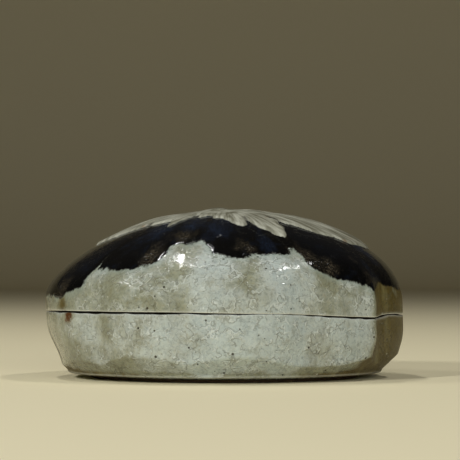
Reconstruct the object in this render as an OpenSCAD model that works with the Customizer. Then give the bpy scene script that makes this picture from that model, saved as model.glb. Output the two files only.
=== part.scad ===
// Kogo: a stoneware incense box in two pieces, a lobed body and a domed lid that lifts off.
// Millimetres, +Z up. The origin is on the table under the centre of the foot, and the front faces -Y.

/* [Overall] */
// Diameter across opposite lobes
box_d = 72.5; // [60:0.5:100]
// Height of the seam between the body and the lid above the table
seam_h = 12.7; // [11.5:0.1:20]

/* [Lobes] */
// Depth of a usual crease between two lobes
lobe_depth = 1.3; // [0:0.1:1.6]
// Turn of the whole plan, in degrees
lobe_turn = 0; // [-18:1:18]
// Height above the seam at which the lobes have died out into the dome
lobe_fade_h = 10; // [6:0.5:14]

/* [Lid] */
// Height of the upright band of the lid above the seam
lid_band_h = 2.6; // [1:0.1:5]
// Rise of the dome above that band
dome_h = 18.1; // [12:0.1:30]
// Fullness of the dome: 2 is an ellipse, and less is more pointed
dome_fullness = 1.8; // [1.5:0.05:2.4]
// Thickness of the lid at its crown
crown_t = 4.2; // [2.5:0.1:6]
// Reach of a usual arm of the thick star of glaze on the crown
star_reach = 24; // [14:0.5:24]
// Thickness of that star
star_t = 0.8; // [0.2:0.1:1.5]
// Width of the slope at its edge
star_edge_w = 0.7; // [0.3:0.1:1.5]

/* [Body] */
// Height of the upright band of the body below the seam
body_band_h = 4.0; // [1:0.1:5]
// Lean of the wall below that band, in degrees
wall_lean = 13; // [5:1:20]
// How far the base edge stands in from the band
taper_in = 4.3; // [3.5:0.1:5.5]
// Slope of the bevel cut round the base, in degrees from upright
bevel_slope = 46; // [40:1:60]
// Rounding of the base edge
base_ease = 0.6; // [0.2:0.1:0.8]
// Thickness of the floor over the foot
floor_t = 3.8; // [2.5:0.1:5]
// Rounding between the well's wall and its floor
well_fillet = 5.0; // [1:0.1:5.5]

/* [Foot] */
// How far the foot ring stands in from the base edge
foot_inset = 5.0; // [2:0.1:8]
// Width of the flat on which the foot ring stands
foot_ring_w = 4.5; // [2:0.1:8]
// Height of the foot ring
foot_h = 1.0; // [0.5:0.1:2]
// Slope of the foot ring's two sides
foot_flare = 0.4; // [0.1:0.1:1]

/* [Fit of the lid] */
// Width of the flat land that the lid sits on
land_w = 3.4; // [2.2:0.1:5]
// Height of the flange that stands up inside the lid
flange_h = 2.6; // [1.5:0.1:5]
// Thickness of that flange
flange_t = 2.2; // [1.5:0.1:3]
// Gap between the flange and the lid around it
fit_gap = 0.3; // [0.15:0.05:0.6]
// Rounding of the rims at the seam
rim_ease = 0.4; // [0.1:0.05:0.8]

/* [Hidden] */

celadon = [0.63, 0.65, 0.57];
iron_black = [0.10, 0.09, 0.08];

// Lobes as the hand cut them: [direction of a crest, 1 if it is round and 0 if it is a sharp corner, direction of
// the crease after it, share of the usual depth]. The long third lobe ends in a flat pared face.
lobe_plan = [
    [-152, 1, -135, 0.9], [-120, 1, -102, 0.95], [-84, 1, -61, 1.25], [-36, 0, -27, 1.2], [-10, 1, 7, 0.9],
    [24, 1, 41, 0.9], [59, 1, 77, 1], [95, 1, 113, 0.9], [131, 1, 152, 1], [171, 1, 190, 0.7]
];

// Outline of the star: [direction, share of the usual reach], tips and notches in turn
star_plan = [
    [-175, 1.05], [-143, 0.65], [-127, 0.75], [-106, 0.48], [-79, 0.8], [-74, 0.72], [-61, 1], [-52, 0.75],
    [-10, 1.2], [38, 0.7], [56, 0.95], [80, 0.6], [117, 0.85], [135, 0.68]
];

// Columns of facets in one lobe, and steps along the dome, its star, the inside, the wall and a small rounding
lobe_steps = 8;
dome_steps = 8;
star_steps = 6;
hollow_steps = 12;
bevel_steps = 1;
wall_steps = 2;
ease_steps = 2;
fillet_steps = 4;

lobes = len(lobe_plan);
columns = lobes * lobe_steps;
half_lobe = lobe_steps / 2;

box_r = box_d / 2;
lid_band_z = seam_h + lid_band_h;
crown_z = lid_band_z + dome_h + star_t;
floor_z = foot_h + floor_t;
base_r = box_r - taper_in;
bevel_z = foot_h + base_ease;
wall_z = seam_h - body_band_h;
foot_r = base_r - foot_inset;
foot_root = floor_t / 2;
flange_r = box_r - land_w;
well_r = flange_r - flange_t;
lid_bore_r = flange_r + fit_gap;
lid_bore_top = seam_h + flange_h + fit_gap;

function ease(t) = let (s = max(0, min(1, t))) s * s * (3 - 2 * s);
function reversed(list) = [for (i = [len(list) - 1 : -1 : 0]) list[i]];

// Each lobe takes the same number of columns, half of them from its crest down to the crease after it
function lobe(column) = lobe_plan[floor(column / lobe_steps) % lobes];
function next_lobe(column) = lobe(column + lobe_steps);
function turn_after(a, b) = b < a ? b + 360 : b;

function direction(column) =
    let (k = column % lobe_steps, this = lobe(column), crest = turn_after(this[2], next_lobe(column)[0]))
    lobe_turn + (k < half_lobe ? this[0] + (this[2] - this[0]) * k / half_lobe
                               : this[2] + (crest - this[2]) * (k / half_lobe - 1));

// How far the outline lies inside the crests: a round crest is flat on top, and a sharp one falls away at once
function draw_in(column) =
    let (k = column % lobe_steps, t = 1 - abs(k / half_lobe - 1),
         softness = k < half_lobe ? lobe(column)[1] : next_lobe(column)[1])
    lobe_depth * lobe(column)[3] * (softness * ease(t) + (1 - softness) * t * (2 - t));

directions = [for (j = [0 : columns - 1]) direction(j)];
draws = [for (j = [0 : columns - 1]) draw_in(j)];

// Point of a ring in one column, with its share of the lobes
function lobed(r, z, share, j) =
    let (lobed_r = r * (1 - share * draws[j] / box_r)) [lobed_r * cos(directions[j]), lobed_r * sin(directions[j]), z];

// Rings from a section, which is a list of [radius, height, share of the lobes]
function rings(section) = [for (p = section) [for (j = [0 : columns - 1]) lobed(p[0], p[1], p[2], j)]];

// Part of a rounded corner, from angle a to angle b about a centre
function corner(r, z, size, a, b, share, steps = ease_steps) =
    [for (i = [0 : steps]) let (t = a + (b - a) * i / steps) [r + size * cos(t), z + size * sin(t), share]];

// Dome over the hollow of the lid
function hollow(r, z, h) =
    [for (i = [0 : hollow_steps - 1]) let (t = 90 * i / hollow_steps)
        [r * pow(cos(t), 2 / dome_fullness), z + h * pow(sin(t), 2 / dome_fullness), 1]];

// Wall of the body in one column: the bevel, a cone, rises to where it meets the leaning lobed wall, so its
// upper edge is scalloped
function meeting_z(j) =
    let (lean = tan(wall_lean), slope = tan(bevel_slope),
         z = (taper_in - draws[j] - lean * wall_z + slope * bevel_z) / (slope - lean))
    max(bevel_z + rim_ease, min(wall_z - rim_ease, z));
function bevel_ring(t) =
    [for (j = [0 : columns - 1]) let (z = bevel_z + (meeting_z(j) - bevel_z) * t,
        top_r = box_r - draws[j] - (wall_z - meeting_z(j)) * tan(wall_lean), r = base_r + (top_r - base_r) * t)
        lobed(r, z, 0, j)];
function wall_ring(t) =
    [for (j = [0 : columns - 1]) let (z = meeting_z(j) + (wall_z - meeting_z(j)) * t)
        lobed(box_r - draws[j] - (wall_z - z) * tan(wall_lean), z, 0, j)];

// Reach of the star in a direction
function star_at(angle) =
    let (n = len(star_plan), first = star_plan[0][0], a = (angle - first + 720) % 360,
         i = max([for (k = [0 : n - 1]) if (star_plan[k][0] - first <= a) k]),
         from = star_plan[i], to = i < n - 1 ? star_plan[i + 1] : [first + 360, star_plan[0][1]])
    star_reach * (from[1] + (to[1] - from[1]) * ease((a + first - from[0]) / (to[0] - from[0])));

// Point of the dome in one column, at an angle t from its foot to its crown, raised by the star
function dome_point(t, raised, j) =
    let (r = box_r * pow(cos(t), 2 / dome_fullness), up = dome_h * pow(sin(t), 2 / dome_fullness),
         out = [pow(cos(t), 2 - 2 / dome_fullness) / box_r, pow(sin(t), 2 - 2 / dome_fullness) / dome_h],
         share = 1 - ease(up / (lobe_fade_h - lid_band_h)))
    lobed(r + raised * out[0] / norm(out), lid_band_z + up + raised * out[1] / norm(out), share, j);
function dome_turn(r) = acos(pow(r / box_r, dome_fullness / 2));

// Rings of the dome below the star, which end along its foot, and of the star itself, which start along its edge
function dome_ring(t) =
    [for (j = [0 : columns - 1]) dome_point(t * dome_turn(star_at(directions[j]) + star_edge_w), 0, j)];
function star_ring(t) =
    [for (j = [0 : columns - 1]) let (start = dome_turn(star_at(directions[j])))
        dome_point(start + t * (90 - start), star_t, j)];

body_rings = concat(
    rings(corner(base_r - base_ease, foot_h + base_ease, base_ease, -90, -30, 0)),
    [for (i = [0 : bevel_steps - 1]) bevel_ring(i / bevel_steps)],
    [for (i = [0 : wall_steps]) wall_ring(i / wall_steps)],
    rings(concat(
        corner(box_r - rim_ease, seam_h - rim_ease, rim_ease, 0, 90, 1),
        [[flange_r, seam_h, 1]],
        corner(flange_r - rim_ease, seam_h + flange_h - rim_ease, rim_ease, 0, 90, 1),
        corner(well_r + rim_ease, seam_h + flange_h - rim_ease, rim_ease, 90, 180, 1),
        reversed(corner(well_r - well_fillet, floor_z + well_fillet, well_fillet, -90, 0, 1, fillet_steps))
    ))
);

lid_rings = concat(
    rings(concat(
        reversed(hollow(lid_bore_r, lid_bore_top, crown_z - crown_t - lid_bore_top)),
        [[lid_bore_r, seam_h, 1]],
        reversed(corner(box_r - rim_ease, seam_h + rim_ease, rim_ease, 0, -90, 1))
    )),
    [for (i = [0 : dome_steps]) dome_ring(i / dome_steps)],
    [for (i = [0 : star_steps - 1]) star_ring(i / star_steps)]
);

// Closes a list of rings, which run from the axis back to the axis with the clay on their left, into one skin
module lobed_skin(skin, from_z, to_z) {
    count = len(skin);
    last = count * columns + 1;
    points = concat([[0, 0, from_z]], [for (ring = skin) each ring], [[0, 0, to_z]]);
    function at(ring, column) = 1 + ring * columns + column % columns;
    faces = concat(
        [for (j = [0 : columns - 1]) [0, at(0, j), at(0, j + 1)]],
        [for (i = [0 : count - 2]) for (j = [0 : columns - 1]) each [
            [at(i, j), at(i + 1, j + 1), at(i, j + 1)],
            [at(i, j), at(i + 1, j), at(i + 1, j + 1)]]],
        [for (j = [0 : columns - 1]) [last, at(count - 1, j + 1), at(count - 1, j)]]
    );
    polyhedron(points = points, faces = faces, convexity = 6);
}

// Round ring under the floor, rooted in the clay, with a flat to stand on
module foot_ring() {
    rotate_extrude($fn = columns)
        polygon([
            [foot_r - foot_ring_w, 0],
            [foot_r, 0],
            [foot_r + foot_flare, foot_h],
            [foot_r + foot_flare, foot_h + foot_root],
            [foot_r - foot_ring_w - foot_flare, foot_h + foot_root],
            [foot_r - foot_ring_w - foot_flare, foot_h]
        ]);
}

// Lower half: foot ring, bevelled lobed wall, land for the lid, flange and well
module body() {
    color(celadon) {
        lobed_skin(body_rings, foot_h, floor_z);
        foot_ring();
    }
}

// Upper half: lobed dome with a star of thick glaze, and a bore that drops over the body's flange
module lid() {
    color(iron_black) lobed_skin(lid_rings, crown_z - crown_t, crown_z);
}

body();
lid();
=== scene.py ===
import math

import bpy
import numpy as np
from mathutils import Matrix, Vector


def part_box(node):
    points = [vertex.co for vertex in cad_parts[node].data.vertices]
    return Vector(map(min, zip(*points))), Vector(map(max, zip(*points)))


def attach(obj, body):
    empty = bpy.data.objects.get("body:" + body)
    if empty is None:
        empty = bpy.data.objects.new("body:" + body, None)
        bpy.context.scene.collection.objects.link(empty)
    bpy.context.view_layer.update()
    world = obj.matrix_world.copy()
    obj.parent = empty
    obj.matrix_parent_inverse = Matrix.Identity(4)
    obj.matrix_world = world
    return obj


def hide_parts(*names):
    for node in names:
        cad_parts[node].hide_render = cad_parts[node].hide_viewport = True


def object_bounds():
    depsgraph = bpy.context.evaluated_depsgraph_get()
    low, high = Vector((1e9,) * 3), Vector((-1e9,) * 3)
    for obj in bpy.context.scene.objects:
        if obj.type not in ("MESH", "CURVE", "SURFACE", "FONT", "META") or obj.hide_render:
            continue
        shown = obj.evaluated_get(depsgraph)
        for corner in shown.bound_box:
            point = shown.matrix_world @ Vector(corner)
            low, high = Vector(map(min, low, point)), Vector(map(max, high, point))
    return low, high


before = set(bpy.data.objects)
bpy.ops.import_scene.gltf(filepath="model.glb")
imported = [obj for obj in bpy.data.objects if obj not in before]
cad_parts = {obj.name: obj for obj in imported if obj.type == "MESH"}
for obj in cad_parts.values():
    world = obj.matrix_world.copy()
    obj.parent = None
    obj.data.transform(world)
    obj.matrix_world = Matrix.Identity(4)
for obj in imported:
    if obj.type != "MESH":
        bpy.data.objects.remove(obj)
cadLow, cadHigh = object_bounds()
scene = bpy.context.scene
scene.view_settings.view_transform = "Standard"
mm = 0.001

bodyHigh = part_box("body")[1]
lidLow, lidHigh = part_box("lid")
seamZ = lidLow.z / mm
crownZ = lidHigh.z / mm
flangeTopZ = bodyHigh.z / mm
crestInset = 0.12  # mm from the front of the solids' box to the crests
crestRadius = -cadLow.y / mm - crestInset
print(f"frame: seam {seamZ:.1f} mm, crown {crownZ:.1f} mm, crest radius {crestRadius:.2f} mm")


def linearColour(code):  # sRGB hex to the linear colour that shaders take
    parts = [int(code[i:i + 2], 16) / 255 for i in (1, 3, 5)]
    return (*[c / 12.92 if c <= 0.04045 else ((c + 0.055) / 1.055) ** 2.4 for c in parts], 1.0)


def addNode(tree, kind, given=None, out=0, **settings):  # a node, its settings, and its values or links
    node = tree.nodes.new(kind)
    for name, value in settings.items():
        setattr(node, name, value)
    for key, value in (given or {}).items():
        if isinstance(value, bpy.types.NodeSocket):
            tree.links.new(value, node.inputs[key])
        else:
            node.inputs[key].default_value = value
    return node.outputs[out] if len(node.outputs) else node


def smoothStep(low, high, value):
    t = np.clip((value - low) / (high - low), 0, 1)
    return t * t * (3 - 2 * t)


def aroundCurve(points, azimuth):  # smooth closed curve through (azimuth in degrees, value) points
    a = np.array([p[0] for p in points], float)
    v = np.array([p[1] for p in points], float)
    a = np.concatenate((a[-2:] - 360, a, a[:2] + 360))
    v = np.concatenate((v[-2:], v, v[:2]))
    slope = np.gradient(v, a)
    azimuth = (np.asarray(azimuth, float) - a[0]) % 360 + a[0]
    i = np.clip(np.searchsorted(a, azimuth) - 1, 0, len(a) - 2)
    span = a[i + 1] - a[i]
    t = (azimuth - a[i]) / span
    return ((1 + 2 * t) * (1 - t) ** 2 * v[i] + t * (1 - t) ** 2 * span * slope[i]
            + t * t * (3 - 2 * t) * v[i + 1] + t * t * (t - 1) * span * slope[i + 1])


def lumps(points, size, seed):  # smooth uneven waves of about that size in mm, between about -1 and 1
    draw = np.random.default_rng(seed)
    waves = 14
    lengths = (0.7, 1.4)  # waves to the size
    total = np.zeros(len(points))
    for _ in range(waves):
        way = draw.normal(size=3)
        way *= draw.uniform(*lengths) * 2 * math.pi / size / np.linalg.norm(way)
        total += np.sin(points @ way + draw.uniform(0, 2 * math.pi))
    return total / math.sqrt(waves)


def swell(away, size):  # 1 at a place, dying away over about that size
    return np.exp(-(away / size) ** 2)


def sideways(azimuth, side, radius):  # mm round a circle from the azimuth of a place
    return np.radians((azimuth - side + 180) % 360 - 180) * radius


# Plan of the box, ten carved lobes: draw-in (mm) from the crest circle by azimuth (degrees, front to +X)
lobePlan = [
    (-175, 0.0), (-165, 0.5), (-157, 1.2), (-150, 0.6), (-139, 0.0), (-127, 0.5), (-118, 1.3), (-110, 0.6),
    (-99, 0.1), (-90, 0.12), (-84, 0.25), (-80, 0.35), (-76, 0.25), (-70, 0.1), (-62, 0.0), (-54, 0.25),
    (-49, 0.7), (-45, 1.2), (-41, 0.75), (-36, 0.2), (-30, 0.0), (-22, 0.3), (-16, 0.85), (-12, 1.25),
    (-8, 0.95), (-2, 0.35), (6, 0.0), (13, 0.35), (19, 1.0), (24, 1.5), (30, 1.7), (37, 1.6), (44, 1.15),
    (50, 0.5), (53, 0.08), (54, 0.0), (55.5, 0.3), (58.5, 1.0), (62.5, 1.5), (66, 1.2), (71, 0.5), (78, 0.1),
    (86, 0.1), (92, 0.6), (97, 1.2), (102, 0.6), (114, 0.0), (124, 0.5), (131, 1.2), (138, 0.6), (149, 0.0),
    (160, 0.6), (167, 1.3), (174, 0.5),
]

# Sections: (radius, height, share of the lobes, zone) in mm, from the axis back to the axis
zones = {"under": 0, "foot": 1, "wall": 2, "rim": 3, "inside": 4}
bodyForm = {
    "bandHeight": 4.0, "bandBlend": 1.0, "taperIn": 4.3, "wallSlope": 0.30, "wallBend": 3.0,
    "bevelSlope": 1.05, "bevelBlend": 0.08, "baseEase": 0.6, "baseHeight": 1.0, "floorThickness": 3.8,
    "wellFillet": 5.0, "footInset": 5.0, "footWidth": 4.5, "footFlare": 0.4, "footRound": 0.35,
    "footSide": 0.1, "landWidth": 3.4, "flangeThickness": 2.2, "flangeEase": 0.45, "flangeRoot": 0.2,
    "rimEase": 0.24,
    "wallStep": 0.34, "rimStep": 0.6, "footStep": 0.9, "wellStep": 0.9, "floorStep": 2.24, "underStep": 2.4,
}
lidForm = {
    "bandHeight": 2.6, "fullness": 1.8, "crownThickness": 4.2, "fitGap": 0.3, "boreEase": 0.3,
    "rimEase": 0.22, "reliefRoom": 1.1, "domeStep": 0.42, "rimStep": 0.6, "insideStep": 1.5,
}
baseRadius = crestRadius - bodyForm["taperIn"]
flangeRadius = crestRadius - bodyForm["landWidth"]


def arc(r, z, size, start, end, steps):
    turn = np.radians(np.linspace(start, end, steps + 1))
    return [(r + size * math.cos(t), z + size * math.sin(t)) for t in turn]


def evenly(points, step):  # the same line with points that far apart
    p = np.array(points, float)
    along = np.concatenate(([0], np.cumsum(np.linalg.norm(np.diff(p, axis=0), axis=1))))
    where = np.linspace(0, along[-1], max(2, round(along[-1] / step) + 1))
    return [(np.interp(s, along, p[:, 0]), np.interp(s, along, p[:, 1])) for s in where]


def dome(r, z, rise, fullness, steps=240):
    turn = np.linspace(0, math.pi / 2, steps + 1)
    power = 2 / fullness
    return [(r * max(0.0, math.cos(t)) ** power, z + rise * math.sin(t) ** power) for t in turn]


def section(stretches):  # joins (points, share of the lobes, zone) stretches and drops doubled points
    sameSpot = 1e-4
    rows = []
    for points, share, zone in stretches:
        for r, z in points:
            if not rows or math.dist(rows[-1][:2], (r, z)) > sameSpot:
                rows.append((r, z, share, zones[zone]))
    return rows


def wallRadius(z):  # body wall at a crest: upright below the seam, then leaning in towards the base
    down = np.maximum(0, seamZ - bodyForm["bandHeight"] + bodyForm["bandBlend"] - z)
    bend = bodyForm["wallBend"]
    leant = np.where(down < bend, down ** 2 / (2 * bend), down - bend / 2)
    return crestRadius - bodyForm["wallSlope"] * leant


def bevelCone(z):  # the bevel pared round the base cuts the lobes, high on a crest and low in a crease
    return baseRadius + bodyForm["bevelSlope"] * (z - bodyForm["baseHeight"] - bodyForm["baseEase"])


def bevelled(radius, z):
    cone = bevelCone(z)
    blend = bodyForm["bevelBlend"]
    low, high = np.minimum(radius, cone), np.maximum(radius, cone)
    return low - blend * np.log1p(np.exp((low - high) / blend))


def bodySection(f):
    baseZ = f["baseHeight"]
    floorZ = baseZ + f["floorThickness"]
    footOut = baseRadius - f["footInset"]
    footIn = footOut - f["footWidth"]
    flare, side, turn = f["footFlare"], f["footSide"], f["footRound"]
    ease, lip, root, fillet = f["rimEase"], f["flangeEase"], f["flangeRoot"], f["wellFillet"]
    eased = baseRadius - f["baseEase"]
    wellRadius = flangeRadius - f["flangeThickness"]
    heights = np.linspace(baseZ + f["baseEase"], seamZ - ease, 90)
    wall = list(zip(bevelled(wallRadius(heights), heights), heights))
    well = [(wellRadius, flangeTopZ - lip)] + arc(wellRadius - fillet, floorZ + fillet, fillet, 0, -90, 12)
    return section([
        (evenly([(0, baseZ), (footIn - flare, baseZ)], f["underStep"]), 0, "under"),
        (arc(footIn + side, turn, turn, 180, 270, 4), 0, "foot"),
        (evenly([(footIn + side, 0), (footOut - side, 0)], f["footStep"]), 0, "foot"),
        (arc(footOut - side, turn, turn, 270, 360, 4), 0, "foot"),
        (evenly([(footOut + flare, baseZ), (eased, baseZ)], f["footStep"]), 0, "under"),
        (arc(eased, baseZ + f["baseEase"], f["baseEase"], -80, -15, 5), 0, "wall"),
        (evenly(wall, f["wallStep"]), 1, "wall"),
        (arc(crestRadius - ease, seamZ - ease, ease, 0, 90, 5), 1, "wall"),
        (evenly([(crestRadius - ease, seamZ), (flangeRadius + root, seamZ)], f["rimStep"]), 1, "rim"),
        (arc(flangeRadius + root, seamZ + root, root, 270, 180, 3), 1, "rim"),
        (evenly([(flangeRadius, seamZ + root), (flangeRadius, flangeTopZ - lip)], f["rimStep"]), 1, "rim"),
        (arc(flangeRadius - lip, flangeTopZ - lip, lip, 0, 90, 4), 1, "rim"),
        (arc(wellRadius + lip, flangeTopZ - lip, lip, 90, 180, 4), 1, "rim"),
        (evenly(well, f["wellStep"]), 1, "inside"),
        (evenly([(wellRadius - fillet, floorZ), (0, floorZ)], f["floorStep"]), 0, "inside"),
    ])


def lidSection(f):
    ease, turn = f["rimEase"], f["boreEase"]
    bore = flangeRadius + f["fitGap"]
    boreTop = flangeTopZ + f["fitGap"]
    inner = dome(bore, boreTop, crownZ - f["crownThickness"] - boreTop, f["fullness"])
    band = seamZ + f["bandHeight"]
    outer = dome(crestRadius, band, crownZ - band - f["reliefRoom"], f["fullness"])
    return section([
        (evenly(inner[::-1], f["insideStep"]), 1, "inside"),
        (evenly([(bore, boreTop), (bore, seamZ + turn)], f["rimStep"]), 1, "rim"),
        (arc(bore + turn, seamZ + turn, turn, 180, 270, 3), 1, "rim"),
        (evenly([(bore + turn, seamZ), (crestRadius - ease, seamZ)], f["rimStep"]), 1, "rim"),
        (arc(crestRadius - ease, seamZ + ease, ease, 270, 360, 5), 1, "wall"),
        (evenly([(crestRadius, seamZ + ease)] + outer, f["domeStep"]), 1, "wall"),
    ])


# Geometry Nodes tree: carries a section round the axis while the plan draws its radius in between the lobes
shellForm = {"columns": 576, "mergeGap": 0.001}  # the gap in mm


def lobedShellTree():
    tree = bpy.data.node_groups.new("lobedShell", "GeometryNodeTree")
    sockets = {"Section": "Geometry", "Plan": "Object", "Columns": "Int", "Rows": "Int",
               "Crest radius": "Float", "Glaze": "Material"}
    for name, kind in sockets.items():
        tree.interface.new_socket(name, in_out="INPUT", socket_type="NodeSocket" + kind)
    tree.interface.new_socket("Shell", in_out="OUTPUT", socket_type="NodeSocketGeometry")
    given = tree.nodes.new("NodeGroupInput").outputs
    place = addNode(tree, "GeometryNodeInputPosition")
    across = addNode(tree, "ShaderNodeMath", {0: given["Columns"], 1: 1.0}, operation="ADD")
    grid = addNode(tree, "GeometryNodeMeshGrid", {"Vertices X": across, "Vertices Y": given["Rows"]})
    cell = addNode(tree, "ShaderNodeSeparateXYZ", {0: place}).node.outputs
    turn = addNode(tree, "ShaderNodeMath", {0: cell[0], 1: 0.5}, operation="ADD")
    rise = addNode(tree, "ShaderNodeMath", {0: cell[1], 1: 0.5}, operation="ADD")
    lastRow = addNode(tree, "ShaderNodeMath", {0: given["Rows"], 1: 1.0}, operation="SUBTRACT")
    rowPlace = addNode(tree, "ShaderNodeMath", {0: rise, 1: lastRow}, operation="MULTIPLY")
    row = addNode(tree, "FunctionNodeFloatToInt", {0: rowPlace}, rounding_mode="ROUND")
    columnPlace = addNode(tree, "ShaderNodeMath", {0: turn, 1: given["Columns"]}, operation="MULTIPLY")
    column = addNode(tree, "FunctionNodeFloatToInt", {0: columnPlace}, rounding_mode="ROUND")
    point = addNode(tree, "GeometryNodeSampleIndex",
                    {"Geometry": given["Section"], "Value": place, "Index": row}, data_type="FLOAT_VECTOR")
    lobeShare = addNode(tree, "GeometryNodeInputNamedAttribute", {"Name": "lobeShare"}, data_type="FLOAT")
    share = addNode(tree, "GeometryNodeSampleIndex",
                    {"Geometry": given["Section"], "Value": lobeShare, "Index": row}, data_type="FLOAT")
    plan = addNode(tree, "GeometryNodeObjectInfo", {"Object": given["Plan"]}).node.outputs["Geometry"]
    drawIn = addNode(tree, "GeometryNodeInputNamedAttribute", {"Name": "drawIn"}, data_type="FLOAT")
    drawn = addNode(tree, "GeometryNodeSampleIndex", {"Geometry": plan, "Value": drawIn, "Index": column},
                    data_type="FLOAT")
    profile = addNode(tree, "ShaderNodeSeparateXYZ", {0: point}).node.outputs
    shared = addNode(tree, "ShaderNodeMath", {0: drawn, 1: share}, operation="MULTIPLY")
    part = addNode(tree, "ShaderNodeMath", {0: shared, 1: given["Crest radius"]}, operation="DIVIDE")
    keep = addNode(tree, "ShaderNodeMath", {0: 1.0, 1: part}, operation="SUBTRACT")
    radius = addNode(tree, "ShaderNodeMath", {0: profile[0], 1: keep}, operation="MULTIPLY")
    angle = addNode(tree, "ShaderNodeMath", {0: turn, 1: 2 * math.pi}, operation="MULTIPLY")
    sine = addNode(tree, "ShaderNodeMath", {0: angle}, operation="SINE")
    cosine = addNode(tree, "ShaderNodeMath", {0: angle}, operation="COSINE")
    inward = addNode(tree, "ShaderNodeMath", {0: radius, 1: -1.0}, operation="MULTIPLY")
    alongX = addNode(tree, "ShaderNodeMath", {0: inward, 1: sine}, operation="MULTIPLY")
    alongY = addNode(tree, "ShaderNodeMath", {0: radius, 1: cosine}, operation="MULTIPLY")
    wrapped = addNode(tree, "ShaderNodeCombineXYZ", {0: alongX, 1: alongY, 2: profile[2]})
    marked = addNode(tree, "GeometryNodeStoreNamedAttribute",
                     {"Geometry": grid, "Name": "sectionRow", "Value": row}, data_type="INT", domain="POINT")
    shell = addNode(tree, "GeometryNodeSetPosition", {"Geometry": marked, "Position": wrapped})
    closed = addNode(tree, "GeometryNodeMergeByDistance",
                     {"Geometry": shell, "Distance": shellForm["mergeGap"] * mm})
    smooth = addNode(tree, "GeometryNodeSetShadeSmooth", {"Geometry": closed})
    real = addNode(tree, "GeometryNodeRealizeInstances", {"Geometry": smooth})
    glazed = addNode(tree, "GeometryNodeSetMaterial", {"Geometry": real, "Material": given["Glaze"]})
    addNode(tree, "NodeGroupOutput", {"Shell": glazed})
    return tree


def lobedShell(name, rows, glaze, tree):
    outline = bpy.data.meshes.new(name + "Section")
    links = [(i, i + 1) for i in range(len(rows) - 1)]
    outline.from_pydata([(r * mm, 0, z * mm) for r, z, _, _ in rows], links, [])
    storeValue(outline, "lobeShare", [row[2] for row in rows])
    azimuth = np.linspace(-180, 180, shellForm["columns"] + 1)
    planMesh = bpy.data.meshes.new(name + "Plan")
    planMesh.from_pydata([(0, 0, 0)] * len(azimuth), [], [])
    storeValue(planMesh, "drawIn", aroundCurve(lobePlan, azimuth) * mm)
    plan = bpy.data.objects.new(name + "Plan", planMesh)
    piece = bpy.data.objects.new(name, outline)
    for item in (plan, piece):
        scene.collection.objects.link(item)
    carried = piece.modifiers.new("lobedShell", "NODES")
    carried.node_group = tree
    values = {"Plan": plan, "Columns": shellForm["columns"], "Rows": len(rows),
              "Crest radius": crestRadius * mm, "Glaze": glaze}
    for socket in tree.interface.items_tree:
        if socket.in_out == "INPUT" and socket.name in values:
            carried[socket.identifier] = values[socket.name]
    depsgraph = bpy.context.evaluated_depsgraph_get()
    plain = bpy.data.meshes.new_from_object(piece.evaluated_get(depsgraph))
    piece.modifiers.clear()
    piece.data = plain
    plain.name = name
    bpy.data.objects.remove(plan)
    return piece


def readPoints(mesh):
    flat = np.empty(len(mesh.vertices) * 3)
    mesh.vertices.foreach_get("co", flat)
    return flat.reshape(-1, 3) / mm


def writePoints(mesh, points):
    mesh.vertices.foreach_set("co", (points * mm).ravel())
    mesh.update()


def outwardNormals(mesh):
    flat = np.empty(len(mesh.vertices) * 3)
    mesh.vertex_normals.foreach_get("vector", flat)
    return flat.reshape(-1, 3)


def azimuthOf(points):  # degrees from the front, towards +X
    return np.degrees(np.arctan2(points[:, 0], -points[:, 1]))


def storeValue(mesh, name, values):
    mesh.attributes.new(name, "FLOAT", "POINT").data.foreach_set("value", np.asarray(values, np.float32))


def storePlace(mesh, name, azimuth, along, ring):  # pattern coordinates that run round and down the dome
    turn = np.radians(azimuth)
    place = np.column_stack((np.cos(turn) * ring, np.sin(turn) * ring, along)) * mm
    mesh.attributes.new(name, "FLOAT_VECTOR", "POINT").data.foreach_set("vector", place.ravel())


# How the hand left the form: a seam that rises and falls and gapes a little, a leaning crown, uneven walls
hand = {
    "seamRise": [(-130, 0.4), (-90, 0.7), (-75, 0.8), (-45, 0.8), (-15, 0.75), (5, 0.55), (20, 0.4),
                 (34, 0.05), (46, -0.25), (56, -0.4), (60, -0.3), (65, 0.0), (80, 0.0), (100, 0.0),
                 (130, 0.1), (180, 0.3)],
    "seamFades": (3.0, 14.0),  # mm above the table, mm above the seam
    "seamGap": [(-160, 0.2), (-120, 0.25), (-80, 0.32), (-40, 0.36), (-12, 0.3), (5, 0.16), (17, 0.04),
                (26, 0.16), (48, 0.34), (70, 0.26), (110, 0.2), (150, 0.25), (175, 0.2)],
    "gapFades": (3.0, 0.3),  # mm below the seam
    "seamChips": 0.25, "chipSize": 3.4, "chipSeed": 21, "chipRange": (0.2, 2.0),
    "wallLean": [(-140, 0.0), (-122, 0.3), (-100, 1.2), (-72, 1.2), (-56, 0.4), (-42, 0.0), (60, 0.0),
                 (160, 0.0)],
    "leanHeights": (11.5, 3.5), "creaseAtBase": 0.7, "creaseHeights": (1.5, 6.0),  # mm above the table
    "lobeFade": 0.9, "fadeHeights": (3, 10), "crownLean": 0.023, "crownHeights": (2.0, 10.0),  # mm over seam
    "unevenness": 0.09, "unevenSize": 18, "unevenSeed": 5, "unevenFrom": 8,
    "hair": 0.01, "flangeGuard": 0.05,  # slack in mm when the rows are told apart
}


def lobedWall(z, drawn, azimuth):  # the creases fade a little towards the base, and the far left leans in
    lean = aroundCurve(hand["wallLean"], azimuth) * smoothStep(*hand["leanHeights"], z)
    atBase = hand["creaseAtBase"]
    crease = atBase + (1 - atBase) * smoothStep(*hand["creaseHeights"], z)
    return wallRadius(z) - drawn * crease - lean


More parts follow.
